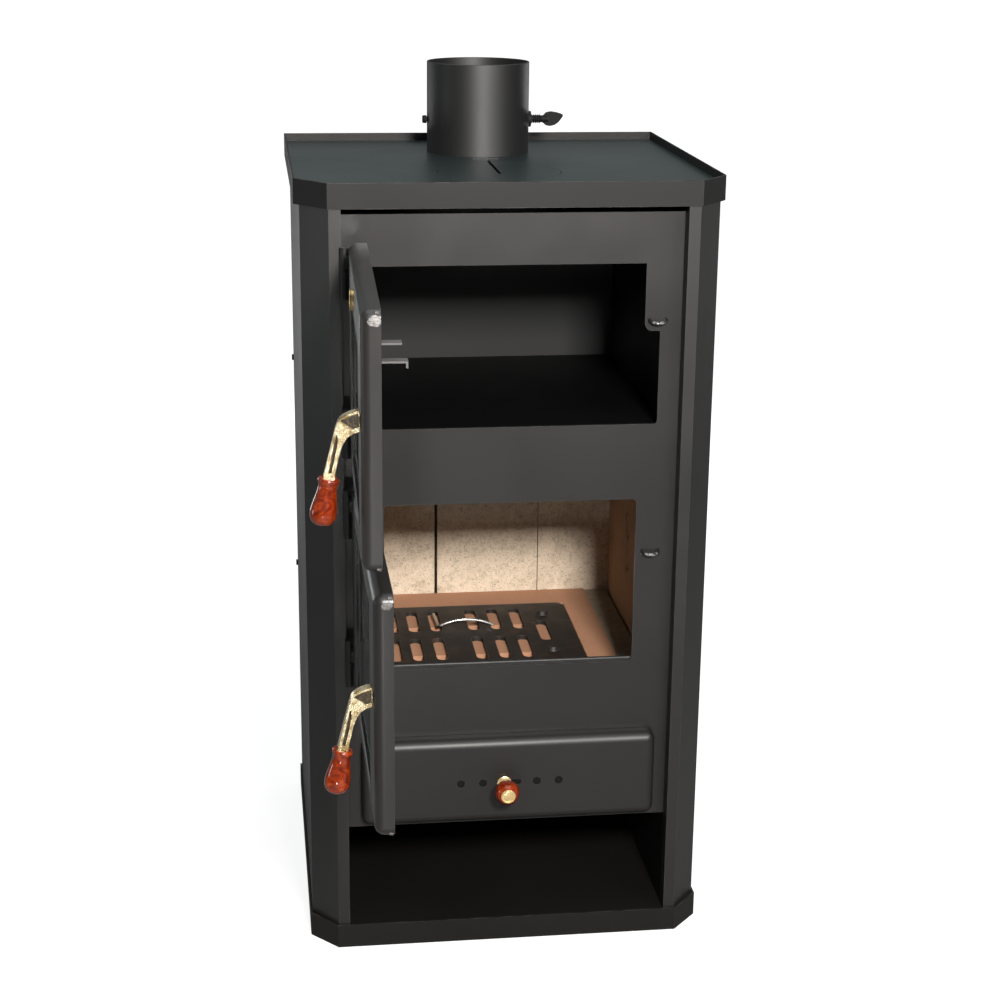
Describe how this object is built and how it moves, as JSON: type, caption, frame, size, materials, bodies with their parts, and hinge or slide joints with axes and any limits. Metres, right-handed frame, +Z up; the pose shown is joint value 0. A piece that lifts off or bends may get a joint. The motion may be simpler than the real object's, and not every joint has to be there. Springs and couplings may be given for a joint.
{
  "type": "wood burning cooker stove",
  "caption": "Upright wood burning stove with a glazed oven door above a glazed firebox door, ash drawer, open log bay, hob lid and damped flue spigot.",
  "frame": {"origin": "on the floor at the middle of the base's underside", "axes": "+Z up, front towards -Y, +X to the right seen from the front"},
  "size_m": [0.4951, 0.8663, 1.043],
  "materials": {
    "casing_paint": "satin black heat-proof paint",
    "door_paint": "satin black heat-proof paint",
    "blackened_steel": "blackened, dull",
    "worn_wire": "blackened wire worn bright at the front",
    "oven_steel": "matt grey-black",
    "bright_steel": "bright zinc",
    "cast_grate": "rough casting with a little rust",
    "fire_board": "speckled vermiculite board",
    "fire_clay": "fired clay",
    "brass": "rough cast, rubbed",
    "burl_wood": "gloss lacquer over red-brown burl",
    "door_glass": "clear ceramic glass",
    "gasket_rope": "knitted glass-fibre rope"
  },
  "bodies": {
    "stove": {"base_tray": "casing_paint", "left_casing": "casing_paint", "right_casing": "casing_paint", "back_panel": "casing_paint", "top_rim": "casing_paint", "hob_plate": "casing_paint", "flue_collar": "casing_paint", "damper_bushes": "blackened_steel", "front_panel": "casing_paint", "door_staples": "worn_wire", "hinge_pins": "blackened_steel", "oven_floor": "oven_steel", "oven_ceiling": "oven_steel", "oven_side_walls": "oven_steel", "oven_back_wall": "oven_steel", "body_side_walls": "oven_steel", "body_back_wall": "oven_steel", "baffle_plate": "oven_steel", "brick_shelf": "oven_steel", "ash_floor": "oven_steel", "back_bricks": "fire_board", "side_bricks": "fire_board", "floor_brick": "fire_clay", "ledge_boards": "fire_board", "log_guard": "blackened_steel", "drawer_runners": "oven_steel", "bay_walls": "casing_paint", "casing_screws": "blackened_steel"},
    "hob_lid": {"hob_lid": "casing_paint"},
    "damper": {"damper_plate": "blackened_steel", "damper_shaft": "blackened_steel", "damper_spring": "blackened_steel"},
    "grate": {"grate": "cast_grate", "grate_handle": "bright_steel"},
    "ash_drawer": {"ash_drawer_box": "oven_steel", "ash_drawer_front": "casing_paint"},
    "air_slide": {"air_slide": "blackened_steel", "air_knob_stem": "brass", "air_knob": "burl_wood"},
    "oven_door": {"oven_door_shell": "door_paint", "oven_glass": "door_glass", "oven_glass_frame": "blackened_steel", "oven_gasket": "gasket_rope", "oven_knuckles": "blackened_steel", "thermometer_case": "brass", "oven_inner_hook": "bright_steel"},
    "thermometer_needle": {"thermometer_needle": "blackened_steel"},
    "oven_handle": {"oven_lever": "brass", "oven_grip": "burl_wood", "oven_spindle": "brass"},
    "fire_door": {"fire_door_shell": "door_paint", "fire_glass": "door_glass", "fire_glass_frame": "blackened_steel", "fire_gasket": "gasket_rope", "fire_knuckles": "blackened_steel"},
    "fire_handle": {"fire_lever": "brass", "fire_grip": "burl_wood", "fire_spindle": "brass"}
  },
  "joints": [
    {"name": "oven_door_hinge", "type": "hinge", "parent": "stove", "child": "oven_door", "pos_m": [-0.1933, -0.2415, 0.7485], "axis": [0, 0, 1], "range_deg": [-30, 91.5]},
    {"name": "fire_door_hinge", "type": "hinge", "parent": "stove", "child": "fire_door", "pos_m": [-0.1933, -0.2415, 0.4685], "axis": [0, 0, 1], "range_deg": [-30, 90]},
    {"name": "oven_handle_turn", "type": "hinge", "parent": "oven_door", "child": "oven_handle", "pos_m": [-0.19827, -0.60309, 0.7672], "axis": [-0.9997, 0.0262, 0], "range_deg": [0, 90]},
    {"name": "fire_handle_turn", "type": "hinge", "parent": "fire_door", "child": "fire_handle", "pos_m": [-0.1888, -0.6031, 0.4862], "axis": [-1, 0, 0], "range_deg": [0, 90]},
    {"name": "thermometer_needle_turn", "type": "hinge", "parent": "oven_door", "child": "thermometer_needle", "pos_m": [-0.19386, -0.43485, 0.849], "axis": [-0.9997, 0.0262, 0], "range_deg": [-230, 30]},
    {"name": "ash_drawer_slide", "type": "slide", "parent": "stove", "child": "ash_drawer", "axis": [0, -1, 0], "range_m": [0, 0.3]},
    {"name": "air_register_slide", "type": "slide", "parent": "ash_drawer", "child": "air_slide", "axis": [1, 0, 0], "range_m": [0, 0.014]},
    {"name": "damper_turn", "type": "hinge", "parent": "stove", "child": "damper", "pos_m": [-0.003, 0.122, 0.9705], "axis": [1, 0, 0], "range_deg": [0, 90]},
    {"name": "hob_lid_lift", "type": "slide", "parent": "stove", "child": "hob_lid", "axis": [0, 0, 1], "range_m": [0, 0.12]},
    {"name": "grate_lift", "type": "slide", "parent": "stove", "child": "grate", "axis": [0, 0, 1], "range_m": [0, 0.04]}
  ]
}
